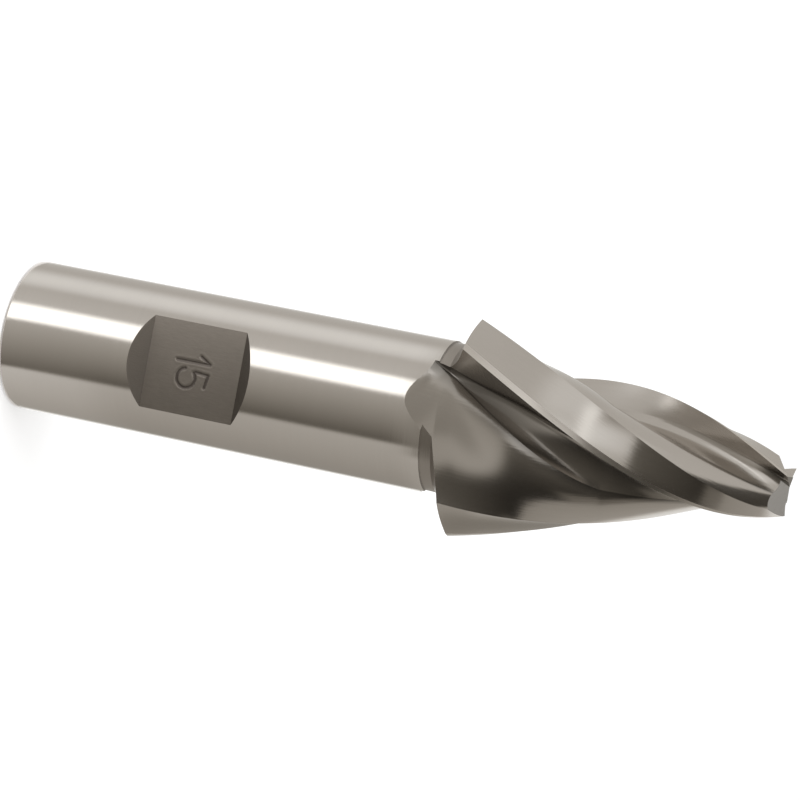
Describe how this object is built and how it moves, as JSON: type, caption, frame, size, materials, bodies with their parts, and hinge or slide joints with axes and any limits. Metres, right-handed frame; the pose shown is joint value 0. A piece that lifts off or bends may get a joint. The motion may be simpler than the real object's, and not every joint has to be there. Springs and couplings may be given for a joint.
{
  "type": "tapered end mill",
  "caption": "Solid tapered end mill: round shank with a clamping flat, thin neck, and a conical head with right-hand helical teeth that also cut on the small end",
  "frame": {"origin": "centre of the flat end of the shank", "axes": "+Z along the tool's axis from the shank end to the cutting tip; +X is the outward normal of the clamping flat; +Y completes the right-handed set"},
  "size_m": [0.0246, 0.0266, 0.099],
  "materials": {
    "tool_steel": "ground and polished, satin, slightly warm grey"
  },
  "bodies": {
    "root": {"end_mill": "tool_steel"}
  },
  "joints": []
}
